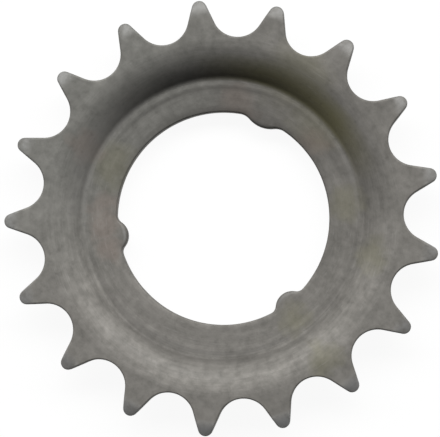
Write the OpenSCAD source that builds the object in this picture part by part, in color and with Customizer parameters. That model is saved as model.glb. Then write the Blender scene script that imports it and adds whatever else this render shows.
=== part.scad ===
// Three-lug bicycle cog, pressed and punched from one steel plate, in mm.
// The inner ring sits back from the teeth, so the plate has a round dish in front.
// Z points out of the dished front. The back of the inner ring lies on Z = 0.
// One tooth stands on the X axis, with one driving lug in line with it.

/* [Chain] */
// Distance between two chain pins
chain_pitch = 12.7; // [10:0.1:15]
// Diameter of a chain roller
roller_d = 7.75; // [6:0.05:9]
// Number of teeth
teeth = 17; // [16:1:24]

/* [Teeth] */
// Thickness of the steel plate, the same in the teeth, the dish and the ring
plate_t = 2.9; // [2:0.1:3.6]
// Play all round a roller in the seat between two teeth
seat_play = 0.5; // [0.1:0.05:0.8]
// How far the tooth tips stand out past the pitch circle
tip_rise = 1.8; // [1:0.1:2.4]
// Radius of the rounded tooth tip
tip_round = 1.2; // [0.6:0.1:1.6]
// Width of the bevel on both sides of a tooth tip, along the radius
bevel_w = 1.8; // [0.8:0.1:3]
// Depth of that bevel at the tip
bevel_h = 0.7; // [0.2:0.05:0.9]
// Broken edge along the gaps between the teeth
edge_break = 0.2; // [0.1:0.05:0.4]

/* [Dish] */
// How far the inner ring sits behind the teeth
dish_depth = 3.2; // [2:0.1:4.5]
// Diameter of the sunken floor
floor_d = 47; // [44:0.2:52]
// Radius of the bend in front, from the teeth down to the floor
bend_front = 8; // [5:0.1:10]
// Radius of the hollow where the wall meets the floor
foot_round = 1; // [0.4:0.1:1.5]
// Radius of the heel where the wall turns into the back of the ring
heel_round = 1.2; // [0.5:0.1:2]

/* [Ring] */
// Diameter of the bore that goes on the hub driver
bore_d = 35.6; // [32:0.1:38]
// Broken edge all round the bore and the lugs
bore_break = 0.4; // [0.1:0.05:0.6]
// Height of the bead that runs round the edge of the floor
bead_h = 0.05; // [0.03:0.01:0.3]
// Width of that bead
bead_w = 1.6; // [1:0.1:2.4]
// Distance from the foot of the wall to the crest of the bead
bead_in = 1.1; // [0.8:0.1:2]

/* [Lugs] */
// Number of driving lugs in the bore
lugs = 3; // [2:1:6]
// Radius of the round nose of a lug
lug_r = 2.8; // [1.5:0.1:3]
// How far a lug reaches into the bore
lug_reach = 1.65; // [0.8:0.05:2]
// Radius of the hollow between a lug and the bore wall
lug_fillet = 1.4; // [0.4:0.1:1.8]

/* [Hidden] */
$fn = 64;
// A round meets the flat or the round next to it at this small angle.
soft = 5;
// How far a punch goes past a face
past = 1;

half_a = 180 / teeth;
pitch_r = chain_pitch / (2 * sin(half_a));
seat_r = roller_d / 2 + seat_play;
tip_r = pitch_r + tip_rise;

front_z = plate_t + dish_depth;
back_z = dish_depth;
floor_r = floor_d / 2;
bore_r = bore_d / 2;

// The bend in front and the bend behind it turn about the same centre.
bend_back = bend_front - plate_t;
bend_z = front_z - bend_front;
bend_r = floor_r + sqrt(pow(bend_front, 2) - pow(max(0, plate_t - bend_z), 2));

foot_near = foot_round * cos(soft);
foot_z = plate_t + foot_near;
foot_r = bend_r - sqrt(pow(bend_front + foot_near, 2) - pow(foot_z - bend_z, 2));

heel_near = heel_round * cos(soft);
heel_drop = max(0, heel_near - bend_z);
heel_r = bend_r - sqrt(pow(bend_back + heel_near, 2) - pow(heel_drop, 2));

bead_r = floor_r - bead_in;
bead_round = (pow(bead_w / 2, 2) + pow(bead_h, 2)) / (2 * bead_h);

// A gap lies along the X axis here, with the next tooth turned half a pitch from it.
// The flank is the straight line that just touches the roller seat and the tip.
seat_near = seat_r * cos(soft);
tip_near = tip_round * cos(soft);
tip_at = (tip_r - tip_round) * [cos(half_a), sin(half_a)];
to_tip = tip_at - [pitch_r, 0];
flank_side = atan2(to_tip[1], to_tip[0]) + acos((seat_near + tip_near) / norm(to_tip));
flank_foot = [pitch_r, 0] + seat_near * [cos(flank_side), sin(flank_side)];
flank_top = tip_at - tip_near * [cos(flank_side), sin(flank_side)];
flank_end = flank_foot + 2 * (flank_top - flank_foot);
// Height on its own axis where a tooth starts to round off
tip_from = flank_top * [cos(half_a), sin(half_a)];

lug_at = bore_r - lug_reach + lug_r;
hollow_near = lug_fillet * cos(soft);
hollow_r = bore_r - hollow_near;
hollow_x = (pow(hollow_r, 2) - pow(lug_r + hollow_near, 2) + pow(lug_at, 2)) / (2 * lug_at);
hollow_at = [hollow_x, sqrt(pow(hollow_r, 2) - pow(hollow_x, 2))];

// Outline of a bend: round above its centre and straight down below it.
module arch(r) {
    circle(r);
    translate([-r, -2 * bend_front])
        square([2 * r, 2 * bend_front]);
}

// Half section of the pressed plate, from the axis out past the tooth tips.
module plate_section() {
    square([floor_r + 0.3 * plate_t, plate_t]);
    foot_fill();
    intersection() {
        translate([bead_r, plate_t + bead_h - bead_round])
            circle(bead_round);
        translate([bead_r - bead_w, plate_t / 2])
            square([2 * bead_w, plate_t]);
    }
    intersection() {
        translate([bend_r, bend_z])
            difference() {
                arch(bend_front);
                arch(bend_back);
            }
        square([bend_r, front_z + past]);
    }
    end_r = tip_r + 0.2;
    end_h = bevel_h * (end_r - tip_r + bevel_w) / bevel_w;
    polygon([
        [bend_r, back_z],
        [tip_r - bevel_w, back_z],
        [end_r, back_z + end_h],
        [end_r, front_z - end_h],
        [tip_r - bevel_w, front_z],
        [bend_r, front_z]
    ]);
}

// What the rounded foot of the wall adds in the corner of the floor.
module foot_fill() {
    into_wall = (foot_round + plate_t / 2) / (bend_front + foot_near);
    difference() {
        polygon([
            [foot_r, foot_z],
            [foot_r, plate_t / 2],
            [foot_r + into_wall * (bend_r - foot_r), foot_z + into_wall * (bend_z - foot_z)]
        ]);
        translate([foot_r, foot_z])
            circle(foot_round);
    }
}

// What the rounded heel takes off the outer edge of the ring's back.
module heel_cut() {
    difference() {
        polygon([
            [heel_r, heel_near],
            [heel_r, -bend_front],
            [bend_r, -bend_front],
            [bend_r, heel_near - heel_drop]
        ]);
        translate([heel_r, heel_near])
            circle(heel_round);
    }
}

// The dished round plate, before the teeth and the bore are punched.
module blank() {
    rotate_extrude()
        difference() {
            plate_section();
            heel_cut();
        }
}

// Space between two teeth: the roller seat and its open mouth.
module gap_outline() {
    translate([pitch_r, 0])
        circle(seat_r);
    polygon([
        flank_foot,
        flank_end,
        [flank_end[0], -flank_end[1]],
        [flank_foot[0], -flank_foot[1]]
    ]);
}

// What the rounded tip takes off a tooth.
module tip_outline() {
    difference() {
        translate([tip_from, -seat_r])
            square([2 * tip_round, 2 * seat_r]);
        translate([tip_r - tip_round, 0])
            circle(tip_round);
    }
}

// All the teeth, seen from the front.
module teeth_outline() {
    difference() {
        circle(tip_r + past);
        for (i = [0 : teeth - 1])
            rotate(2 * i * half_a) {
                tip_outline();
                rotate(half_a)
                    gap_outline();
            }
    }
}

// Broken edge along one flank. The side is 1 in front and -1 at the back.
module flank_break(side) {
    translate(flank_foot)
        rotate([90, 0, flank_side])
            linear_extrude(norm(flank_end - flank_foot))
                polygon([
                    [-edge_break, -2 * side * edge_break],
                    [2 * edge_break, side * edge_break],
                    [-edge_break, side * edge_break]
                ]);
}

// Broken edge all along one gap.
module gap_break(side) {
    translate([pitch_r, 0, 0])
        rotate_extrude()
            polygon([
                [0, -2 * side * edge_break],
                [seat_r - edge_break, -2 * side * edge_break],
                [seat_r + 2 * edge_break, side * edge_break],
                [0, side * edge_break]
            ]);
    flank_break(side);
    mirror([0, 1, 0])
        flank_break(side);
}

// Upright pin through the ring, with its edges broken at both faces.
// The side is 1 for a hole and -1 for a pin that stays.
module ring_pin(r, side) {
    wide = r + 2 * side * bore_break;
    rotate_extrude()
        polygon([
            [0, -past],
            [wide, -past],
            [wide, -bore_break],
            [r, bore_break],
            [r, plate_t - bore_break],
            [wide, plate_t + bore_break],
            [wide, front_z],
            [0, front_z]
        ]);
}

// Metal between a lug and the bore wall, with the hollow still to be cut.
module lug_web() {
    translate([0, 0, -2 * past])
        linear_extrude(front_z + 4 * past)
            polygon([
                [lug_at, 0],
                hollow_at,
                hollow_at * (bore_r + past) / hollow_r
            ]);
}

// Rounded hollow between a lug and the bore wall.
module lug_hollow() {
    translate(hollow_at)
        ring_pin(lug_fillet, 1);
}

// The bore, with its lugs left standing.
module bore_cut() {
    difference() {
        ring_pin(bore_r, 1);
        for (i = [0 : lugs - 1])
            rotate(i * 360 / lugs) {
                translate([lug_at, 0, 0])
                    ring_pin(lug_r, -1);
                lug_web();
                mirror([0, 1, 0])
                    lug_web();
            }
    }
    for (i = [0 : lugs - 1])
        rotate(i * 360 / lugs) {
            lug_hollow();
            mirror([0, 1, 0])
                lug_hollow();
        }
}

// The whole cog: the dished plate with its teeth and its bore punched out.
module cog() {
    color([0.46, 0.45, 0.43])
        difference() {
            intersection() {
                blank();
                translate([0, 0, -past])
                    linear_extrude(front_z + 2 * past)
                        teeth_outline();
            }
            for (i = [0 : teeth - 1])
                rotate((2 * i + 1) * half_a) {
                    translate([0, 0, front_z])
                        gap_break(1);
                    translate([0, 0, back_z])
                        gap_break(-1);
                }
            bore_cut();
        }
}

cog();
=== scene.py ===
# %% [markdown]
# # A pressed steel cog
#
# This lesson dresses one bicycle cog. The real one starts as a flat steel
# plate: a press sinks the middle, a punch cuts the teeth and the bore, and a
# lathe skims the inner ring. The solid model gives the true sizes. Here the
# same form is made again with softened edges, and gets the dull, handled
# surface of bare steel.

import math

import bpy
from mathutils import Matrix, Vector


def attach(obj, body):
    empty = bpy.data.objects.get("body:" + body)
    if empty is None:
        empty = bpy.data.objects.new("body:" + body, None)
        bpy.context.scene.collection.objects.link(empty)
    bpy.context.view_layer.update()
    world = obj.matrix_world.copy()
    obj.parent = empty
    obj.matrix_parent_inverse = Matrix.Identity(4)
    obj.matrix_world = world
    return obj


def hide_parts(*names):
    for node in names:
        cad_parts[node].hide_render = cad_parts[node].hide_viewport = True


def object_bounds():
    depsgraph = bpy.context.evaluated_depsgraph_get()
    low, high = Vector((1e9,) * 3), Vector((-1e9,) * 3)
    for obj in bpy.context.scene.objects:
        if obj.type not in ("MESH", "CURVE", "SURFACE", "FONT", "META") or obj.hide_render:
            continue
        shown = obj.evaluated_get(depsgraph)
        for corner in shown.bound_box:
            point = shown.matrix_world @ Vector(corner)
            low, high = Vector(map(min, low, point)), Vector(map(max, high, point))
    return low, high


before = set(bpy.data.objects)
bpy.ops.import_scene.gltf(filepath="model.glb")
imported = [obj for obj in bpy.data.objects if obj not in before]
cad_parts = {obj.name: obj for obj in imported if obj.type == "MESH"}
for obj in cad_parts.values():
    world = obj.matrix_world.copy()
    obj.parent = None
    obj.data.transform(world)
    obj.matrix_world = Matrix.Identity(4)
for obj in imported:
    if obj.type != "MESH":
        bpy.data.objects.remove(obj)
cad_low, cad_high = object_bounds()
MM = 0.001
print("solid model, mm:", [round(v / MM, 2) for v in cad_high - cad_low])

# %% [markdown]
# ## Sizes
#
# The cog's form follows a few rules. The chain gives the pitch circle, and the
# round seats of its rollers lie on that circle. A tooth is what is left
# between two seats. The plate has one thickness everywhere, so the bend in
# front and the bend behind it share a centre. The height comes from the frame;
# the rest is written once here, in millimetres.

# %% Sizes of the cog
TEETH = 17
CHAIN_PITCH = 12.7
SEAT_RADIUS = 4.375
TIP_RISE = 1.8
TIP_ROUND = 1.2
BEVEL_WIDTH = 1.8
BEVEL_DEPTH = 0.7
PLATE = 2.9
FLOOR_RADIUS = 23.5
BEND_RADIUS = 8.0
HEEL_ROUND = 1.2
BORE_RADIUS = 17.8
LUGS = 3
LUG_RADIUS = 2.8
LUG_REACH = 1.65

FRONT = (cad_high.z - cad_low.z) / MM
BACK = FRONT - PLATE
HALF_PITCH = math.pi / TEETH
PITCH_RADIUS = CHAIN_PITCH / (2 * math.sin(HALF_PITCH))
TIP_RADIUS = PITCH_RADIUS + TIP_RISE
BEND_HEIGHT = FRONT - BEND_RADIUS
BEND_AT = FLOOR_RADIUS + math.sqrt(BEND_RADIUS**2 - (PLATE - BEND_HEIGHT) ** 2)
print(f"pitch circle {2 * PITCH_RADIUS:.2f} mm, tips {2 * TIP_RADIUS:.2f} mm")
print(f"front at {FRONT:.2f} mm, bend starts at {BEND_AT:.2f} mm")

# %% [markdown]
# ## Sums in a node tree
#
# A node tree does its sums in Math nodes, one node for each sign. Written out
# one by one they hide the rule, so this small class lets a formula read as a
# formula: adding two values places an Add node and links it. The same class
# serves the shape of the cog and its steel.


# %% A value in a node tree
class Value:
    """One number or vector that flows through a node tree."""

    def __init__(self, tree, socket):
        self.tree = tree
        self.socket = socket

    def node(self, kind, operation, *others):
        """Places one sum and feeds it with this value and the others."""
        made = self.tree.nodes.new(kind)
        made.operation = operation
        for slot, item in zip(made.inputs, (self, *others)):
            feed(self.tree, slot, item)
        return made

    def math(self, operation, *others):
        """A sum of numbers."""
        made = self.node("ShaderNodeMath", operation, *others)
        return Value(self.tree, made.outputs[0])

    def vector(self, operation, *others, out="Vector"):
        """A sum of vectors."""
        made = self.node("ShaderNodeVectorMath", operation, *others)
        return Value(self.tree, made.outputs[out])

    def __add__(self, other):
        return self.math("ADD", other)

    def __sub__(self, other):
        return self.math("SUBTRACT", other)

    def __mul__(self, other):
        return self.math("MULTIPLY", other)

    def __truediv__(self, other):
        return self.math("DIVIDE", other)

    def held(self, low=0.0, high=1.0):
        """The value, held between two limits."""
        return self.math("MAXIMUM", low).math("MINIMUM", high)

    def times(self, number):
        """A vector times a number."""
        scaled = self.tree.nodes.new("ShaderNodeVectorMath")
        scaled.operation = "SCALE"
        feed(self.tree, scaled.inputs[0], self)
        feed(self.tree, scaled.inputs["Scale"], number)
        return Value(self.tree, scaled.outputs[0])

    def parts(self):
        """The X, Y and Z of a vector."""
        split = self.tree.nodes.new("ShaderNodeSeparateXYZ")
        feed(self.tree, split.inputs[0], self)
        return [Value(self.tree, out) for out in split.outputs]


# %% Helpers that place nodes
def feed(tree, slot, item):
    """Links a value to a socket, or sets a plain number on it."""
    if isinstance(item, Value):
        tree.links.new(item.socket, slot)
    else:
        slot.default_value = item


def place(tree, kind, out=0, settings=None, **inputs):
    """Adds a node, sets its options and inputs, and returns one of its outputs.

    An underscore in an input's name stands for a space.
    """
    made = tree.nodes.new(kind)
    for name, option in (settings or {}).items():
        setattr(made, name, option)
    for name, item in inputs.items():
        feed(tree, made.inputs[name.replace("_", " ").strip()], item)
    return Value(tree, made.outputs[out])


def joined(tree, x, y, z):
    """A vector made of three numbers."""
    return place(tree, "ShaderNodeCombineXYZ", X=x, Y=y, Z=z)


def blended(tree, a, b, share):
    """A vector that goes from a to b as the share goes from 0 to 1."""
    mix = tree.nodes.new("ShaderNodeMix")
    mix.data_type = "VECTOR"
    feed(tree, mix.inputs["Factor"], share)
    feed(tree, mix.inputs[4], a)
    feed(tree, mix.inputs[5], b)
    return Value(tree, mix.outputs[1])


def number_input(tree, name, value, kind="NodeSocketFloat"):
    """Adds a named input to a tree, with its usual value."""
    slot = tree.interface.new_socket(name, in_out="INPUT", socket_type=kind)
    slot.default_value = value


def tree_inputs(tree):
    """The values that come into a tree, by name."""
    start = tree.nodes.new("NodeGroupInput")
    return {slot.name: Value(tree, slot) for slot in start.outputs if slot.name}


# %% [markdown]
# ## The section
#
# A turner thinks of such a part as a half section that goes round an axis. It
# is drawn here as a closed line of corners: X is the distance from the axis
# and Y the height. Each corner carries the radius that rounds it, in the
# curve's own radius. The hollow foot of the wall, the long bend above it, the
# heel behind and the broken edges are all the same kind of corner, so one
# Fillet Curve node can round them all. Two rounds that meet get a little
# slack, so that neither runs into the other.

# %% Corners of the wall and the heel
FOOT_ROUND = 1.0


def at_level(level, slope, touch, height):
    """Where a straight stretch through a point, on a slope, reaches a level."""
    return touch + (level - height) / math.tan(slope)


foot_rise = PLATE + FOOT_ROUND - BEND_HEIGHT
wall_slope = math.acos(foot_rise / (BEND_RADIUS + FOOT_ROUND))
wall_touch = BEND_AT - BEND_RADIUS * math.sin(wall_slope)
wall_height = BEND_HEIGHT + BEND_RADIUS * math.cos(wall_slope)
foot_corner = at_level(PLATE, wall_slope, wall_touch, wall_height)
bend_corner = at_level(FRONT, wall_slope, wall_touch, wall_height)

bend_back = BEND_RADIUS - PLATE
heel_drop = HEEL_ROUND - BEND_HEIGHT
heel_slope = math.acos(heel_drop / (bend_back + HEEL_ROUND))
heel_touch = BEND_AT - bend_back * math.sin(heel_slope)
heel_height = BEND_HEIGHT + bend_back * math.cos(heel_slope)
back_corner = at_level(BACK, heel_slope, heel_touch, heel_height)
heel_corner = at_level(0.0, heel_slope, heel_touch, heel_height)
print(f"wall slope {math.degrees(wall_slope):.1f} degrees in front")
print(f"wall slope {math.degrees(heel_slope):.1f} degrees behind")

# %% Corners of the half section
EDGE = 0.24
BORE_EDGE = 0.25
BEAD_PEAK = 0.04
BEAD_WIDTH = 1.3
BEAD_IN = 1.2
BEAD_ROUND = 3.0
BEAD_FOOT_ROUND = 1.0
SLACK = 0.97
RING_STEPS = 3
TOOTH_STEPS = 8
BACK_STEPS = 6


def steps(start, stop, count):
    """Plain points along a straight stretch, without its ends."""
    a, b = Vector(start), Vector(stop)
    return [(*a.lerp(b, (k + 1) / (count + 1)), 0.0) for k in range(count)]


bead_at = FLOOR_RADIUS - BEAD_IN
bead_inner = bead_at - BEAD_WIDTH / 2
bead_outer = bead_at + BEAD_WIDTH / 2
corners = [
    (BORE_RADIUS, PLATE, BORE_EDGE),
    *steps((BORE_RADIUS + BORE_EDGE, PLATE), (bead_inner, PLATE), RING_STEPS),
    (bead_inner, PLATE, BEAD_ROUND),
    (bead_at, PLATE + BEAD_PEAK, BEAD_ROUND),
    (bead_outer, PLATE, BEAD_FOOT_ROUND),
    (foot_corner, PLATE, FOOT_ROUND * SLACK),
    (bend_corner, FRONT, BEND_RADIUS * SLACK),
    *steps((BEND_AT, FRONT), (TIP_RADIUS - EDGE, FRONT), TOOTH_STEPS),
    (TIP_RADIUS, FRONT, EDGE),
    (TIP_RADIUS, BACK, EDGE),
    *steps((TIP_RADIUS - EDGE, BACK), (BEND_AT, BACK), BACK_STEPS),
    (back_corner, BACK, bend_back * SLACK),
    (heel_corner, 0.0, HEEL_ROUND * SLACK),
    *steps((heel_corner, 0.0), (BORE_RADIUS + BORE_EDGE, 0.0), RING_STEPS),
    (BORE_RADIUS, 0.0, BORE_EDGE),
]
print("section corners:", len(corners))

# %% Draw the section
line = bpy.data.curves.new("cog_section", "CURVE")
line.dimensions = "3D"
spline = line.splines.new("POLY")
spline.points.add(len(corners) - 1)
for point, (x, y, rounding) in zip(spline.points, corners):
    point.co = (x * MM, y * MM, 0.0, 1.0)
    point.radius = rounding * MM
spline.use_cyclic_u = True
section = bpy.data.objects.new("cog_section", line)
bpy.context.collection.objects.link(section)
print("section points:", len(spline.points))

# %% [markdown]
# ## The bore wall
#
# The bore is round, except where three lugs reach in to drive the cog. Seen
# from the axis, the wall is one distance for each direction: the near side of
# a lug's round nose, then the far side of the small round hollow next to it,
# then the bore itself. The three circles touch each other, so the wall has no
# corner. Years on a hub have worn one lug lower and wider than the others and
# have pushed another a little round. The wall is its own node group, because
# the edge needs it three times: here, and a hair to the left and right, to
# know which way the wall faces.

# %% Lugs and their wear
WORN_LUG = math.radians(120.0)
PUSHED_LUG = math.radians(240.0)
PUSH = math.radians(0.9)

BORE_SIZES = {
    "Bore Radius": BORE_RADIUS,
    "Lug Reach": LUG_REACH,
    "Lug Radius": LUG_RADIUS,
    "Hollow": 1.4,
    "Worn Reach": 1.24,
    "Worn Radius": 4.8,
    "Worn Hollow": 2.6,
}
BORE_TURNS = {
    "Direction": 0.0,
    "Worn Lug": WORN_LUG,
    "Pushed Lug": PUSHED_LUG,
    "Push": PUSH,
}


def circle_side(centre, angle, radius, side):
    """Distance to the near side (-1) or far side (1) of a circle, seen from the axis."""
    offset = angle.math("SINE") * centre
    room = (radius * radius - offset * offset).math("MAXIMUM", 0.0)
    return angle.math("COSINE") * centre + room.math("SQRT") * side


print("lugs reach in, mm:", LUG_REACH, "and the worn one", BORE_SIZES["Worn Reach"])


# %% Node group for the bore wall
def bore_wall_group():
    """Gives the wall's distance from the axis for any direction."""
    tree = bpy.data.node_groups.new("bore wall", "GeometryNodeTree")
    for name, size in BORE_SIZES.items():
        number_input(tree, name, size * MM)
    for name, turn in BORE_TURNS.items():
        number_input(tree, name, turn)
    number_input(tree, "Lugs", float(LUGS))
    tree.interface.new_socket("Distance", in_out="OUTPUT", socket_type="NodeSocketFloat")
    given = tree_inputs(tree)
    bore = given["Bore Radius"]

    def around(lug):
        """1 in the part of the turn that belongs to this lug, and 0 elsewhere."""
        nearness = (given["Direction"] - given[lug]).math("COSINE")
        return nearness.math("GREATER_THAN", math.cos(math.pi / LUGS))

    # The sizes of the lug in this direction, and how far aside of it this is.
    worn = around("Worn Lug")
    reach = given["Lug Reach"] + worn * (given["Worn Reach"] - given["Lug Reach"])
    nose = given["Lug Radius"] + worn * (given["Worn Radius"] - given["Lug Radius"])
    hollow = given["Hollow"] + worn * (given["Worn Hollow"] - given["Hollow"])
    half_turn = place(tree, "ShaderNodeValue")
    half_turn.socket.default_value = math.pi
    sector = half_turn / given["Lugs"]
    turned = given["Direction"] - around("Pushed Lug") * given["Push"]
    aside = turned.math("WRAP", sector, sector * -1.0).math("ABSOLUTE")

    # The circles of nose and hollow touch, so three sides of a triangle are known.
    nose_at = bore - reach + nose
    hollow_at = bore - hollow
    span = nose + hollow
    reached_out = hollow_at * hollow_at - span * span + nose_at * nose_at
    hollow_x = reached_out / (nose_at * 2.0)
    hollow_y = (hollow_at * hollow_at - hollow_x * hollow_x).math("SQRT")
    share = nose / span
    nose_x = nose_at + (hollow_x - nose_at) * share
    nose_end = (hollow_y * share).math("ARCTAN2", nose_x)
    hollow_end = hollow_y.math("ARCTAN2", hollow_x)

    on_nose = circle_side(nose_at, aside, nose, -1.0)
    in_hollow = circle_side(hollow_at, aside - hollow_end, hollow, 1.0)
    beside = aside.math("LESS_THAN", hollow_end) * (in_hollow - bore)
    inside = aside.math("LESS_THAN", nose_end) * (on_nose - in_hollow)
    end = tree.nodes.new("NodeGroupOutput")
    feed(tree, end.inputs["Distance"], bore + beside + inside)
    return tree


bore_wall = bore_wall_group()
print("bore wall nodes:", len(bore_wall.nodes))

# %% [markdown]
# ## The cog as one tree
#
# Geometry Nodes turn the section into the cog. A Star curve with filleted
# corners is the outline of the teeth: its inner corners become the roller
# seats and its outer corners the tips, and its straight sides the flanks.
# Curve to Mesh runs the section along that outline. Then each point is set in
# its place: near the outside it keeps its distance from the outline, near the
# bore its distance from the bore wall, and between them it lies on a plain
# circle. The press didn't hit the exact middle, so the dish lies a tenth of a
# millimetre aside. The bevel of the tips depends only on the distance from the
# axis, as if it were turned on a lathe, which is how it is made. Last of all,
# noise moves the skin by a few hundredths, because no pressed plate is even.

# %% Corners of the star
seat_centre = PITCH_RADIUS * Vector((math.cos(HALF_PITCH), math.sin(HALF_PITCH)))
tip_centre = Vector((TIP_RADIUS - TIP_ROUND, 0.0))
apart = tip_centre - seat_centre
across = math.asin((SEAT_RADIUS + TIP_ROUND) / apart.length)
flank_lean = math.atan2(-apart.y, apart.x) - across
star_outer = tip_centre.x + TIP_ROUND / math.sin(flank_lean)
star_inner = PITCH_RADIUS - SEAT_RADIUS / math.sin(flank_lean + HALF_PITCH)
print(f"flanks lean {math.degrees(flank_lean):.1f} degrees")
print(f"star from {star_inner:.2f} to {star_outer:.2f} mm")

# %% Inputs of the tree
COLUMNS = 52
BORE_BAND = 3.0
DISH_BAND = 5.0
DISH_SHIFT = 0.12
DISH_SHIFT_SIDE = math.radians(197.0)
UNEVENNESS = 0.02

SIZES = {
    "Star Outer": star_outer,
    "Star Inner": star_inner,
    "Seat Radius": SEAT_RADIUS,
    "Tip Round": TIP_ROUND,
    "Tip Radius": TIP_RADIUS,
    "Edge": EDGE,
    "Bend Radius": BEND_AT,
    "Bevel Width": BEVEL_WIDTH,
    "Bevel Depth": BEVEL_DEPTH,
    "Middle Height": FRONT - PLATE / 2,
    "Plate": PLATE,
    "Bore Radius": BORE_RADIUS,
    "Bore Edge": BORE_EDGE,
    "Bore Band": BORE_BAND,
    "Dish Band": DISH_BAND,
    "Lug Reach": LUG_REACH,
    "Unevenness": UNEVENNESS,
}
shift_way = Vector((math.cos(DISH_SHIFT_SIDE), math.sin(DISH_SHIFT_SIDE), 0.0))
dish_shift = DISH_SHIFT * MM * shift_way
print("sizes that the tree takes:", len(SIZES))

# %% Outline and section in the tree
ROUND_POINTS = 24
POINTS_PER_MM = 2.0
FEWEST_POINTS = 3.0
MOST_POINTS = 16.0


def captured(tree, geometry, **fields):
    """Keeps fields as they are on this geometry, for use after it has changed."""
    keep = tree.nodes.new("GeometryNodeCaptureAttribute")
    keep.domain = "POINT"
    feed(tree, keep.inputs["Geometry"], geometry)
    for name, field in fields.items():
        keep.capture_items.new("VECTOR", name)
        feed(tree, keep.inputs[name], field)
    return [Value(tree, keep.outputs[name]) for name in ("Geometry", *fields)]


def teeth_outline(tree, given):
    """The filleted star, with its points spread evenly."""
    star = tree.nodes.new("GeometryNodeCurveStar")
    feed(tree, star.inputs["Points"], given["Teeth"])
    feed(tree, star.inputs["Inner Radius"], given["Star Inner"])
    feed(tree, star.inputs["Outer Radius"], given["Star Outer"])
    feed(tree, star.inputs["Twist"], 0.0)
    rounding = place(
        tree,
        "GeometryNodeSwitch",
        settings={"input_type": "FLOAT"},
        Switch=Value(tree, star.outputs["Outer Points"]),
        False_=given["Seat Radius"],
        True_=given["Tip Round"],
    )
    rounded = place(
        tree,
        "GeometryNodeFilletCurve",
        settings={"mode": "POLY"},
        Curve=Value(tree, star.outputs["Curve"]),
        Count=ROUND_POINTS,
        Radius=rounding,
    )
    count = given["Teeth"] * given["Columns"]
    return place(tree, "GeometryNodeResampleCurve", Curve=rounded, Count=count)


def section_line(tree, given):
    """The half section, with each corner rounded by the radius that it carries."""
    carried = place(tree, "GeometryNodeInputRadius")
    wanted = carried * (POINTS_PER_MM / MM) + FEWEST_POINTS
    return place(
        tree,
        "GeometryNodeFilletCurve",
        settings={"mode": "POLY"},
        Curve=given["Geometry"],
        Count=wanted.math("MINIMUM", MOST_POINTS),
        Radius=carried,
        Limit_Radius=True,
    )


# %% Place near the bore
HAIR = 0.004
NOSE_EDGE = 2.2


def bore_distance(tree, direction, given):
    """How far the bore wall is from the axis in this direction."""
    made = tree.nodes.new("GeometryNodeGroup")
    made.node_tree = bore_wall
    feed(tree, made.inputs["Direction"], direction)
    feed(tree, made.inputs["Bore Radius"], given["Bore Radius"])
    return Value(tree, made.outputs["Distance"])


def bore_place(tree, given, rim, from_bore):
    """Where a point near the bore goes, and how far a lug reaches in there."""
    rim_x, rim_y, _ = rim.parts()
    outward = rim.vector("NORMALIZE")
    out_x, out_y, _ = outward.parts()
    direction = rim_y.math("ARCTAN2", rim_x)
    wall = bore_distance(tree, direction, given)
    ahead = bore_distance(tree, direction + HAIR, given)
    behind = bore_distance(tree, direction - HAIR, given)
    lean = (ahead - behind) / (wall * (2.0 * HAIR))
    around = joined(tree, out_y * -1.0, out_x, 0.0)
    wall_normal = outward.vector("SUBTRACT", around.times(lean)).vector("NORMALIZE")
    reached = (given["Bore Radius"] - wall) / given["Lug Reach"]
    inset = from_bore.held(0.0, given["Bore Edge"]) * (reached * NOSE_EDGE + 1.0)
    return outward.times(wall).vector("ADD", wall_normal.times(inset)), reached


# %% Place of each point
BEVEL_BLEND = 0.12


def point_place(tree, given, rim, along, cut):
    """Where a point of the section goes, at one point of the outline."""
    # On a tooth: a set distance inside the outline.
    away, height, _ = cut.parts()
    along_x, along_y, _ = along.parts()
    rim_normal = joined(tree, along_y, along_x * -1.0, 0.0)
    from_tip = given["Tip Radius"] - away
    inset = from_tip.held(0.0, given["Edge"])
    on_rim = rim.vector("SUBTRACT", rim_normal.times(inset))
    tooth_span = given["Tip Radius"] - given["Edge"] - given["Bend Radius"]
    tooth_share = ((away - given["Bend Radius"]) / tooth_span).held()

    # On the ring: from the bore's wall out to plain circles, with the dish aside.
    from_bore = away - given["Bore Radius"]
    on_bore, reached = bore_place(tree, given, rim, from_bore)
    bore_span = given["Bore Band"] - given["Bore Edge"]
    bore_share = ((from_bore - given["Bore Edge"]) / bore_span).held()
    ring_inner = given["Bore Radius"] + given["Bore Band"]
    circle = away.held(ring_inner, given["Bend Radius"])
    on_circle = rim.vector("NORMALIZE").times(circle)
    pressed = bore_share * ((given["Bend Radius"] - away) / given["Dish Band"]).held()
    on_ring = blended(tree, on_bore, on_circle, bore_share)
    on_ring = on_ring.vector("ADD", given["Dish Shift"].times(pressed))

    # Both faces of a tooth come closer together towards its tip.
    flat = blended(tree, on_ring, on_rim, tooth_share)
    flat_x, flat_y, _ = flat.parts()
    from_axis = flat.vector("LENGTH", out="Value")
    into_bevel = from_axis - given["Tip Radius"] + given["Bevel Width"]
    bevelled = (into_bevel / given["Bevel Width"]).math("SMOOTH_MAX", 0.0, BEVEL_BLEND)
    bevel = bevelled * given["Bevel Depth"]
    side = (height - given["Middle Height"]) / (given["Plate"] * 0.5)
    level = height - side.held(-1.0, 1.0) * bevel * tooth_share
    return joined(tree, flat_x, flat_y, level), from_tip, from_bore, reached


# %% Uneven skin and stored numbers
RIPPLE_SCALE = 210.0
RIPPLE_DETAIL = 2.0


def uneven_skin(tree, geometry, position, depth):
    """Moves each point in or out by up to a depth, as soft noise says."""
    sizes = {"Scale": RIPPLE_SCALE, "Detail": RIPPLE_DETAIL}
    ripple = place(tree, "ShaderNodeTexNoise", Vector=position, **sizes)
    normal = place(tree, "GeometryNodeInputNormal")
    push = normal.times((ripple - 0.5) * depth * 2.0)
    return place(tree, "GeometryNodeSetPosition", Geometry=geometry, Offset=push)


def near(distance, edge):
    """1 on an edge, and falling to 0 over its width."""
    return (distance / edge - 1.0) * -1.0


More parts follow.
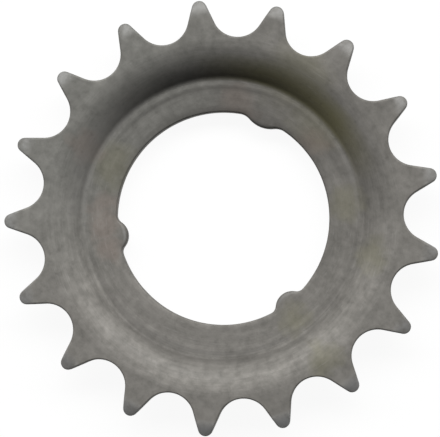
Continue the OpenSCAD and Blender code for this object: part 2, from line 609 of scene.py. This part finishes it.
def with_numbers(tree, geometry, **numbers):
    """Stores numbers on the points, for the steel to read."""
    for name, number in numbers.items():
        geometry = place(
            tree,
            "GeometryNodeStoreNamedAttribute",
            settings={"data_type": "FLOAT", "domain": "POINT"},
            Geometry=geometry,
            Name=name,
            Value=number,
        )
    return geometry


# %% Tree that turns the section into the cog
def cog_tree():
    """The whole way from the drawn section to the dressed cog."""
    tree = bpy.data.node_groups.new("cog from its section", "GeometryNodeTree")
    tree.interface.new_socket("Geometry", in_out="INPUT", socket_type="NodeSocketGeometry")
    number_input(tree, "Teeth", TEETH, "NodeSocketInt")
    number_input(tree, "Columns", COLUMNS, "NodeSocketInt")
    for name, size in SIZES.items():
        number_input(tree, name, size * MM)
    number_input(tree, "Dish Shift", dish_shift, "NodeSocketVector")
    tree.interface.new_socket("Steel", in_out="INPUT", socket_type="NodeSocketMaterial")
    tree.interface.new_socket("Geometry", in_out="OUTPUT", socket_type="NodeSocketGeometry")
    given = tree_inputs(tree)

    position = place(tree, "GeometryNodeInputPosition")
    tangent = place(tree, "GeometryNodeInputTangent")
    star = teeth_outline(tree, given)
    outline, rim, along = captured(tree, star, Rim=position, Along=tangent)
    profile, cut = captured(tree, section_line(tree, given), Cut=position)
    sweep = place(
        tree,
        "GeometryNodeCurveToMesh",
        Curve=outline,
        Profile_Curve=profile,
        Fill_Caps=False,
    )

    where, from_tip, from_bore, reached = point_place(tree, given, rim, along, cut)
    shaped = place(tree, "GeometryNodeSetPosition", Geometry=sweep, Position=where)
    uneven = uneven_skin(tree, shaped, position, given["Unevenness"])
    rim_edge = near(from_tip, given["Edge"])
    bore_edge = near(from_bore, given["Bore Edge"])
    edge = rim_edge.math("MAXIMUM", bore_edge).held()
    # Nearness to an edge, which the steel uses for painted shade on rounded edges.
    marked = with_numbers(tree, uneven, worn_edge=edge, lug_nose=reached.held())

    smooth = place(tree, "GeometryNodeSetShadeSmooth", Geometry=marked, Shade_Smooth=True)
    real = place(tree, "GeometryNodeRealizeInstances", Geometry=smooth)
    dressed = place(tree, "GeometryNodeSetMaterial", Geometry=real, Material=given["Steel"])
    end = tree.nodes.new("NodeGroupOutput")
    feed(tree, end.inputs["Geometry"], dressed)
    return tree


cog_from_section = cog_tree()
print("cog tree nodes:", len(cog_from_section.nodes))

# %% [markdown]
# ## Marks on the steel
#
# The cog was pressed, skimmed on a lathe and handled. Four effects make its
# marks, and each is a small group with named inputs. Mottling is the cloudy
# grey of pickled steel. Ring marks are streaks around the axis, so they read
# the distance from it closely and the direction only loosely. A stain is a
# soft spot of old oil or heat colour, at one place on the cog, with an edge
# that noise has frayed. An arc is a part of a ring on the front, full near one
# direction and fading to both sides. Most arcs carry painted shade and painted
# highlights that follow the turned form; a few carry oil and a cool tint.

# %% Helpers for the groups
NOWHERE = (0.0, 0.0, 0.0)
FRONT_FROM, FRONT_FULL = 1.5 * MM, 2.5 * MM


def shader_group(name, inputs, outputs):
    """An empty shader group with its sockets, and the values that come in."""
    tree = bpy.data.node_groups.new(name, "ShaderNodeTree")
    for label, value in inputs.items():
        kind = "NodeSocketFloat" if isinstance(value, float) else "NodeSocketVector"
        number_input(tree, label, value, kind)
    for label in outputs:
        tree.interface.new_socket(label, in_out="OUTPUT", socket_type="NodeSocketFloat")
    return tree, tree_inputs(tree), tree.nodes.new("NodeGroupOutput")


def noise(tree, where, scale, detail=2.0, roughness=0.5, out="Fac"):
    """Soft clouds. More detail and roughness add finer clouds to the broad ones."""
    sizes = {"Scale": scale, "Detail": detail, "Roughness": roughness}
    return place(tree, "ShaderNodeTexNoise", out, Vector=where, **sizes)


def ramp(value, low, high):
    """0 at low, 1 at high, and an even slope between."""
    return ((value - low) / (high - low)).held()


def from_the_axis(tree, x, y):
    """How far a place lies from the cog's axis."""
    return joined(tree, x, y, 0.0).vector("LENGTH", out="Value")


# %% Groups for mottling and ring marks
BLOTCH_FINENESS, SPECK_FINENESS = 3.7, 6.0
BROAD_PART, BLOTCH_PART = 1.1, 1.3
SPECK_FROM, SPECK_FULL = 0.56, 0.8


def mottle_group():
    """Broad clouds with smaller ones in them, and dark specks."""
    inputs = {"Vector": NOWHERE, "Scale": 180.0}
    tree, given, end = shader_group("mottling", inputs, ["Cloud", "Speck"])
    here, scale = given["Vector"], given["Scale"]
    broad = noise(tree, here, scale, 3.0, 0.55)
    blotch = noise(tree, here, scale * BLOTCH_FINENESS, 3.0, 0.6)
    cloud = (broad - 0.5) * BROAD_PART + (blotch - 0.5) * BLOTCH_PART + 0.5
    feed(tree, end.inputs["Cloud"], cloud.held())
    dots = noise(tree, here, scale * SPECK_FINENESS, 2.0, 0.5)
    feed(tree, end.inputs["Speck"], ramp(dots, SPECK_FROM, SPECK_FULL))
    return tree


def ring_mark_group():
    """Streaks around the axis that break up along their way."""
    inputs = {"Vector": NOWHERE, "Rings": 1200.0, "Breaks": 4.0}
    tree, given, end = shader_group("ring marks", inputs, ["Marks"])
    x, y, z = given["Vector"].parts()
    flat = joined(tree, x, y, 0.0)
    away = flat.vector("LENGTH", out="Value")
    around = flat.vector("NORMALIZE").times(given["Breaks"])
    inward = joined(tree, 0.0, 0.0, (away + z) * given["Rings"])
    streaks = noise(tree, around.vector("ADD", inward), 1.0, 3.0, 0.55)
    feed(tree, end.inputs["Marks"], streaks)
    return tree


mottling, ring_marks = mottle_group(), ring_mark_group()
print("groups:", mottling.name, "and", ring_marks.name)

# %% Groups for stains and arcs
FRAY_SCALE = 260.0
NO_FRAY = (0.5, 0.5, 0.5)
STAIN_TOP, STAIN_BLEND = 0.6, 0.4


def stain_group():
    """One soft spot with a frayed edge."""
    inputs = {"Vector": NOWHERE, "Centre": NOWHERE, "Size": 0.004, "Fraying": 0.006}
    tree, given, end = shader_group("stain", inputs, ["Stain"])
    clouds = noise(tree, given["Vector"], FRAY_SCALE, 3.0, 0.6, out="Color")
    frayed = clouds.vector("SUBTRACT", NO_FRAY).times(given["Fraying"])
    gap = given["Vector"].vector("SUBTRACT", given["Centre"])
    x, y, _ = gap.vector("ADD", frayed).parts()
    far = from_the_axis(tree, x, y) / given["Size"]
    spot = (far * -1.0 + 1.0).held().math("SMOOTH_MIN", STAIN_TOP, STAIN_BLEND)
    feed(tree, end.inputs["Stain"], spot)
    return tree


def arc_group():
    """One part of a ring on the front, soft at its ends and its sides."""
    inputs = {"Vector": NOWHERE, "Direction": 0.0, "Full": 0.5, "Gone": 1.0}
    inputs.update({"Start": 0.0, "Inner": 0.001, "Outer": 0.04, "End": 0.041})
    tree, given, end = shader_group("arc", inputs, ["Arc"])
    x, y, z = given["Vector"].parts()
    away = from_the_axis(tree, x, y)
    turn = given["Direction"]
    along = (x * turn.math("COSINE") + y * turn.math("SINE")) / away
    beside = ramp(along.math("ARCCOSINE"), given["Gone"], given["Full"])
    rise = ramp(away, given["Start"], given["Inner"])
    fall = ramp(away, given["End"], given["Outer"])
    on_front = ramp(z, FRONT_FROM, FRONT_FULL)
    feed(tree, end.inputs["Arc"], beside * (rise * fall) * on_front)
    return tree


stain, arc = stain_group(), arc_group()
print("groups:", stain.name, "and", arc.name)

# %% [markdown]
# ## Where the marks lie
#
# This cog has a history: greenish oil and the rosy brown that heat leaves.
# Arcs of painted shade darken the foot of the wall, the shaded part of the
# dish and ring and the bore's edge; arcs of painted highlight brighten parts
# of the wall and ring. Each spot has a direction in degrees, a distance from
# the axis and a size in millimetres. Each arc has a direction, the angles at
# which it is still full and at which it is gone, four distances between which
# it rises and falls again, and how much of its colour it lays on.

# %% Spots and arcs
OLIVE_SPOTS = [
    (206, 20.4, 5.0),
    (358, 20.4, 3.4),
    (358, 29.2, 3.8),
    (59, 20.8, 3.8),
    (38, 25.8, 3.4),
    (114, 26.5, 7.0),
    (97, 22.5, 6.0),
]
ROSE_SPOTS = [
    (225, 19.8, 3.0),
    (236, 19.8, 3.2),
    (247, 19.9, 3.0),
    (134, 19.2, 4.2),
    (92, 19.6, 3.6),
    (204, 25.5, 3.6),
]

ALL_OVER = (0.0, 1.0, 40.0, 41.0)
COOL_SIDE = [((190, 26, 73), ALL_OVER, 1.0)]
# Painted light on the tooth tips on the side away from the lamp.
RUBBED_SIDE = [((322, 26, 78), ALL_OVER, 0.3)]
OILY_ARCS = [((110, 18, 44), (23.0, 23.6, 25.0, 27.5), 0.8)]
# Painted highlights: bright arcs on parts of the wall and ring.
SHINE_ARCS = [
    ((322, 26, 60), (22.0, 22.6, 22.6, 23.2), 0.15),
    ((298, 18, 46), (24.9, 26.4, 26.4, 27.9), 0.13),
    ((202, 16, 34), (22.8, 23.2, 25.0, 27.0), 0.34),
    ((74, 10, 22), (22.1, 22.5, 22.8, 23.1), 0.2),
]
# Painted shade: dark arcs at the foot of the wall, on the shaded part of the dish and ring,
# and along the bore's edge.
DIRT_ARCS = [
    ((328, 50, 78), (22.85, 23.1, 23.3, 24.6), 0.24),
    ((328, 52, 75), (22.95, 23.2, 23.25, 23.7), 0.14),
    ((306, 26, 40), (23.1, 23.35, 23.5, 23.9), 0.22),
    ((284, 14, 30), (23.6, 24.0, 24.6, 25.4), 0.12),
    ((325, 14, 46), (23.4, 23.9, 24.5, 28.5), 0.3),
    ((37, 25, 55), (24.0, 24.8, 26.5, 29.0), 0.07),
    ((142, 18, 64), (23.2, 23.6, 25.0, 27.5), 0.25),
    ((165, 12, 30), (23.4, 23.8, 25.0, 27.0), 0.1),
    ((135, 20, 110), (0.0, 1.0, 23.2, 23.6), 0.28),
    ((135, 20, 110), (0.0, 1.0, 18.0, 20.5), 0.17),
    ((155, 18, 53), (21.2, 21.8, 21.8, 22.4), 0.17),
    ((355, 32, 73), (0.0, 1.0, 18.4, 19.4), 0.18),
]
print("spots:", len(OLIVE_SPOTS) + len(ROSE_SPOTS))
# Most of these arcs are painted highlight and painted shade.
print("arcs of shine and dirt:", len(SHINE_ARCS) + len(DIRT_ARCS))


# %% Put the marks in a material
def marks(tree, group, **inputs):
    """Places a group and returns its outputs by name."""
    made = tree.nodes.new("ShaderNodeGroup")
    made.node_tree = group
    for name, item in inputs.items():
        feed(tree, made.inputs[name], item)
    return {out.name: Value(tree, out) for out in made.outputs}


def stains(tree, here, spots):
    """All spots of one kind, the stronger one where two meet."""
    total = None
    for turn, away, size in spots:
        angle = math.radians(turn)
        centre = (away * MM * math.cos(angle), away * MM * math.sin(angle), 0.0)
        one = marks(tree, stain, Vector=here, Centre=centre, Size=size * MM)["Stain"]
        total = one if total is None else total.math("MAXIMUM", one)
    return total


def arcs(tree, here, rows):
    """All arcs of one kind, added up by their shares."""
    total = None
    for angles, distances, share in rows:
        sizes = dict(zip(("Direction", "Full", "Gone"), map(math.radians, angles)))
        sizes.update(zip(("Start", "Inner", "Outer", "End"), (d * MM for d in distances)))
        one = marks(tree, arc, Vector=here, **sizes)["Arc"] * share
        total = one if total is None else total + one
    return total


# %% [markdown]
# ## Bare steel
#
# The surface is dull metal: it has no clear reflections, only a wide soft
# shine where it turns to the lamp. So the shader is mostly metallic and quite
# rough. Colour, roughness and a shallow bump all come from the marks, because
# on real steel the same scratch does all three. The colour is built up in
# layers: steel, then oil and heat, then scratches, polish and painted
# highlights, and last of all dark specks and painted shade. Tooth tips are a
# little brighter, because the chain rubs them, and carry painted light on the
# side away from the lamp. Lug noses carry a painted shade line and a painted
# highlight along their edge, and all rounded edges carry painted shade. The
# tree of the cog has stored two numbers on its points for this: how near an
# edge is, and how far a lug reaches in.

# %% Colours and their shares
STEEL = (0.236, 0.226, 0.209)
STEEL_DARK = (0.152, 0.146, 0.134)
COOL_SHIFT = (0.982, 1.01, 1.012)
OLIVE = (0.204, 0.196, 0.136)
DEEP_OLIVE = (0.2, 0.188, 0.1)
ROSE = (0.236, 0.187, 0.161)
# Grey of scratches, also used for painted highlights.
SCRATCH = (0.315, 0.307, 0.293)
# Grey of polished tips, also used for painted light on tips and lug noses.
TIP_SHINE = (0.304, 0.307, 0.308)
# Dark of specks, also used for painted shade.
DIRT = (0.05, 0.047, 0.043)

STREAK_PART = 0.9
OLIVE_PART, ROSE_PART = 0.8, 0.65
SCRATCH_PART, SPECK_PART = 0.3, 0.2
TIP_PART = 0.4
# Painted shade on rounded edges and lug noses, and a painted highlight beside the noses.
EDGE_PART, NOSE_LINE_PART, NOSE_SHINE_PART = 0.3, 0.3, 0.35
# Painted shade towards one side of the front.
PATINA_PART = 0.22


def tinted(tree, share, under, over):
    """The colour under, with the colour over laid on it by its share."""
    mix = tree.nodes.new("ShaderNodeMix")
    mix.data_type = "RGBA"
    feed(tree, mix.inputs["Factor"], share)
    for slot, item in ((mix.inputs[6], under), (mix.inputs[7], over)):
        feed(tree, slot, item if isinstance(item, Value) else (*item, 1.0))
    return Value(tree, mix.outputs[2])


# %% Where the steel is rubbed, and where light and shade are painted
TIPS_FROM, TIPS_FULL = PITCH_RADIUS - 1.0, TIP_RADIUS - 1.2
PATCHY_FROM, PATCHY_FULL = 0.1, 0.6
NOSE_FROM, NOSE_FULL = 21.0, 20.0
LINE_FROM, LINE_FULL = 0.7, 1.0
SHINE_FULL, SHINE_END = 0.4, 0.8
# Side and spread of the painted shade on the front.
PATINA_SIDE = math.radians(127.0)
PATINA_FROM, PATINA_FULL = -5.0 * MM, 36.0 * MM


def stored(tree, name):
    """A number that the cog's tree has stored on its points."""
    return place(tree, "ShaderNodeAttribute", out="Fac", settings={"attribute_name": name})


def polished_tips(tree, here, away, cloud):
    """The ends of the teeth: patchy polish, plus painted light on one side."""
    tips = ramp(away, TIPS_FROM, TIPS_FULL) * ramp(cloud, PATCHY_FROM, PATCHY_FULL)
    return tips * (arcs(tree, here, RUBBED_SIDE) + TIP_PART)


def lug_wear(tree, away, edge):
    """A painted shade line along the edge of a lug's nose, and a painted highlight beside
    it.
    """
    nose = stored(tree, "lug_nose") * ramp(away, NOSE_FROM, NOSE_FULL)
    nose_line = nose * ramp(edge, LINE_FROM, LINE_FULL)
    nose_shine = nose * ramp(edge, 0.0, SHINE_FULL) * ramp(edge, SHINE_END, SHINE_FULL)
    return nose_line, nose_shine


def patina(x, y, z):
    """Painted shade on the front, darker towards one side."""
    up_the_side = x * math.cos(PATINA_SIDE) + y * math.sin(PATINA_SIDE)
    film = ramp(up_the_side, PATINA_FROM, PATINA_FULL)
    return film * ramp(z, FRONT_FROM, FRONT_FULL)


# %% Shallow relief
GRAIN_SCALE = 4200.0
FINE_RELIEF, GRAIN_RELIEF, CLOUD_RELIEF = 0.5, 0.25, 0.8
RELIEF_STRENGTH, RELIEF_DEPTH = 0.35, 0.06 * MM


def shallow_relief(tree, here, fine, cloud):
    """A bump of turning marks, grain and clouds, too shallow for the mesh."""
    grain = noise(tree, here, GRAIN_SCALE, 2.0, 0.6)
    relief = fine * FINE_RELIEF + grain * GRAIN_RELIEF + cloud * CLOUD_RELIEF
    sizes = {"Strength": RELIEF_STRENGTH, "Distance": RELIEF_DEPTH}
    return place(tree, "ShaderNodeBump", Height=relief, **sizes)


# %% Material of the cog
TURNED_FROM, TURNED_FULL = BEND_AT + 2.0, BEND_AT - 1.0
SCRATCH_FROM, SCRATCH_FULL = 0.6, 0.75
METAL = 0.85
ROUGH, POLISH = 0.78, 0.1


def bare_steel():
    """The steel, in layers: wear and stains, then painted highlight and painted shade."""
    steel = bpy.data.materials.new("bare_steel")
    steel.use_nodes = True
    tree = steel.node_tree
    tree.nodes.clear()
    here = place(tree, "ShaderNodeTexCoord", out="Object")
    x, y, z = here.parts()
    away = from_the_axis(tree, x, y) / MM

    mottle = marks(tree, mottling, Vector=here, Scale=180.0)
    cloud, speck = mottle["Cloud"], mottle["Speck"]
    streak = marks(tree, ring_marks, Vector=here, Rings=1100.0, Breaks=3.5)["Marks"]
    fine = marks(tree, ring_marks, Vector=here, Rings=4200.0, Breaks=9.0)["Marks"]
    turned = ramp(away, TURNED_FROM, TURNED_FULL)
    scratches = ramp(fine, SCRATCH_FROM, SCRATCH_FULL) * turned
    edge = stored(tree, "worn_edge")
    nose_line, nose_shine = lug_wear(tree, away, edge)

    shade = cloud + (streak - 0.5) * turned * STREAK_PART
    colour = tinted(tree, shade.held(), STEEL_DARK, STEEL)
    layers = [
        (arcs(tree, here, COOL_SIDE), colour.vector("MULTIPLY", COOL_SHIFT)),
        (stains(tree, here, OLIVE_SPOTS) * OLIVE_PART, OLIVE),
        (arcs(tree, here, OILY_ARCS), DEEP_OLIVE),
        (stains(tree, here, ROSE_SPOTS) * ROSE_PART, ROSE),
        (scratches * SCRATCH_PART, SCRATCH),
        # Painted highlights, in scratch grey.
        (arcs(tree, here, SHINE_ARCS), SCRATCH),
        # Polished tips, with painted light on the side away from the lamp.
        (polished_tips(tree, here, away, cloud), TIP_SHINE),
        (speck * SPECK_PART, DIRT),
        # Painted shade on rounded edges and along the lug noses.
        (edge * EDGE_PART + nose_line * NOSE_LINE_PART, DIRT),
        # Painted highlight beside the edge of the lug noses.
        (nose_shine * NOSE_SHINE_PART, TIP_SHINE),
        # Painted shade, in arcs and towards one side of the front.
        (arcs(tree, here, DIRT_ARCS) + patina(x, y, z) * PATINA_PART, DIRT),
    ]
    for share, over in layers:
        colour = tinted(tree, share, colour, over)
    rough = shade * -POLISH + ROUGH
    bump = shallow_relief(tree, here, fine * turned, cloud)

    shader = tree.nodes.new("ShaderNodeBsdfPrincipled")
    feed(tree, shader.inputs["Metallic"], METAL)
    feed(tree, shader.inputs["Base Color"], colour)
    feed(tree, shader.inputs["Roughness"], rough.held())
    feed(tree, shader.inputs["Normal"], bump)
    end = tree.nodes.new("ShaderNodeOutputMaterial")
    tree.links.new(shader.outputs[0], end.inputs["Surface"])
    return steel


steel = bare_steel()
print("steel nodes:", len(steel.node_tree.nodes))

# %% [markdown]
# ## Making the cog
#
# The tree's inputs are set by their identifiers before the object is looked at
# for the first time. Then the result is read once and kept as a plain mesh, so
# the part no longer depends on the curve or the tree. The mesh stands in for
# the solid model's node and belongs to the one body that the cog has.

# %% Read the tree into a mesh
maker = section.modifiers.new("cog", "NODES")
maker.node_group = cog_from_section
values = {name: size * MM for name, size in SIZES.items()}
values.update({"Teeth": TEETH, "Columns": COLUMNS})
values.update({"Dish Shift": dish_shift, "Steel": steel})
for item in cog_from_section.interface.items_tree:
    if item.in_out == "INPUT" and item.name in values:
        maker[item.identifier] = values[item.name]

depsgraph = bpy.context.evaluated_depsgraph_get()
evaluated = section.evaluated_get(depsgraph)
mesh = bpy.data.meshes.new_from_object(evaluated, depsgraph=depsgraph)
section.modifiers.remove(maker)
bpy.data.objects.remove(section)
mesh.name = "dressed_cog"
cog = bpy.data.objects.new("dressed_cog", mesh)
bpy.context.collection.objects.link(cog)
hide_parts("cog")
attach(cog, "root")
print("points:", len(mesh.vertices))

# %% Measure the mesh
mesh.calc_loop_triangles()
volume = 0.0
for triangle in mesh.loop_triangles:
    a, b, c = (mesh.vertices[k].co for k in triangle.vertices)
    volume += a.dot(b.cross(c)) / 6.0
print("triangles:", len(mesh.loop_triangles))
print("volume, mm3:", round(volume / MM**3, 1))

# %% [markdown]
# ## Camera
#
# The photo looks almost straight down on the cog, from a little to the right
# and below. One lug points to the lower right, so the picture is turned
# against the cog's own X axis. A long lens from half a metre keeps the ring
# and the teeth at nearly the same scale, as in the photo.

# %% Place the camera
PICTURE_TURN = math.radians(52.1)
PICTURE_WIDTH = 73.0 * MM
VIEW_DISTANCE = 0.5
NEAREST = 0.01
SENSOR = 36.0
FROM_RIGHT = math.radians(3.5)
FROM_BELOW = math.radians(1.7)
AXIS_RIGHT = 0.243 * MM
AXIS_UP = 0.136 * MM


def facing(direction, top):
    """A turn that looks against the direction, with the top of the picture given."""
    back = direction.normalized()
    side = top.cross(back).normalized()
    return Matrix((side, back.cross(side), back)).transposed().to_euler()


right = Vector((math.cos(PICTURE_TURN), math.sin(PICTURE_TURN), 0.0))
up = Vector((-right.y, right.x, 0.0))
aim = Vector((0.0, 0.0, FRONT * MM)) - right * AXIS_RIGHT - up * AXIS_UP
tilt = right * math.tan(FROM_RIGHT) - up * math.tan(FROM_BELOW)
to_camera = (Vector((0.0, 0.0, 1.0)) + tilt).normalized()

lens = bpy.data.cameras.new("camera")
lens.sensor_width = SENSOR
lens.lens = SENSOR * VIEW_DISTANCE / PICTURE_WIDTH
lens.clip_start = NEAREST
camera = bpy.data.objects.new("camera", lens)
bpy.context.collection.objects.link(camera)
camera.location = aim + to_camera * VIEW_DISTANCE
camera.rotation_euler = facing(to_camera, up)
bpy.context.scene.camera = camera
print("lens:", round(lens.lens, 1), "mm")

# %% [markdown]
# ## Light and floor
#
# One long soft lamp stands beyond the top of the picture, fairly low. It makes
# the near half of the dished wall bright and leaves the far half dark, which
# tells the eye that the ring lies deeper than the teeth. A dim even world
# keeps the dark side from going black. The floor is white to the camera and to
# reflections, and an ordinary pale floor to all other light, so it still shows
# a soft shadow. It lies a hair below the cog, because two faces in one plane
# would flicker. Far away it has an upright rim, so that a low view ends in
# white too.

# %% Lamp and world
LAMP_HEIGHT = math.radians(45.0)
LAMP_DISTANCE = 1.2
LAMP_LENGTH, LAMP_WIDTH = 8.0, 0.5
LAMP_POWER = 118.0
WORLD_LEVEL = 0.07
WHITE = (1.0, 1.0, 1.0, 1.0)

lamp_data = bpy.data.lights.new("window", "AREA")
lamp_data.shape = "RECTANGLE"
lamp_data.size = LAMP_LENGTH
lamp_data.size_y = LAMP_WIDTH
lamp_data.energy = LAMP_POWER
lamp = bpy.data.objects.new("window", lamp_data)
bpy.context.collection.objects.link(lamp)
lamp_side = up * math.cos(LAMP_HEIGHT) + Vector((0.0, 0.0, math.sin(LAMP_HEIGHT)))
lamp.location = lamp_side * LAMP_DISTANCE
lamp.rotation_euler = facing(lamp_side, right.cross(lamp_side) * -1.0)

world = bpy.data.worlds.new("studio")
bpy.context.scene.world = world
world.use_nodes = True
background = world.node_tree.nodes["Background"]
background.inputs["Color"].default_value = WHITE
background.inputs["Strength"].default_value = WORLD_LEVEL
print("lamp:", LAMP_POWER, "W at", round(math.degrees(LAMP_HEIGHT)), "degrees")

# %% Floor
FLOOR_HALF = 20.0
FLOOR_LEVEL = -0.03 * MM
RIM_HEIGHT = 3.0
FLOOR_COLOUR = (0.8, 0.8, 0.8, 1.0)
FLOOR_WHITE = 0.93


def pale_floor():
    """White where it is looked at, and plain and pale to all other light."""
    pale = bpy.data.materials.new("pale_floor")
    pale.use_nodes = True
    tree = pale.node_tree
    tree.nodes.clear()
    path = tree.nodes.new("ShaderNodeLightPath")
    seen = Value(tree, path.outputs["Is Camera Ray"])
    for ray in ("Is Glossy Ray", "Is Transmission Ray"):
        seen = seen.math("MAXIMUM", Value(tree, path.outputs[ray]))
    mix = tree.nodes.new("ShaderNodeMixShader")
    feed(tree, mix.inputs[0], seen * FLOOR_WHITE)
    feed(tree, mix.inputs[1], place(tree, "ShaderNodeBsdfDiffuse", Color=FLOOR_COLOUR))
    feed(tree, mix.inputs[2], place(tree, "ShaderNodeEmission", Color=WHITE, Strength=1.0))
    end = tree.nodes.new("ShaderNodeOutputMaterial")
    tree.links.new(mix.outputs[0], end.inputs["Surface"])
    return pale


square = [(a * FLOOR_HALF, b * FLOOR_HALF) for a, b in ((-1, -1), (1, -1), (1, 1), (-1, 1))]
floor_points = [(x, y, z) for z in (FLOOR_LEVEL, RIM_HEIGHT) for x, y in square]
floor_faces = [(0, 1, 2, 3)]
floor_faces += [(k, k + 4, (k + 1) % 4 + 4, (k + 1) % 4) for k in range(4)]
floor_mesh = bpy.data.meshes.new("floor")
floor_mesh.from_pydata(floor_points, [], floor_faces)
floor_mesh.materials.append(pale_floor())
floor = bpy.data.objects.new("floor", floor_mesh)
bpy.context.collection.objects.link(floor)
bpy.context.scene.view_settings.view_transform = "Standard"
print("floor:", 2 * FLOOR_HALF, "m wide, with a rim of", RIM_HEIGHT, "m")
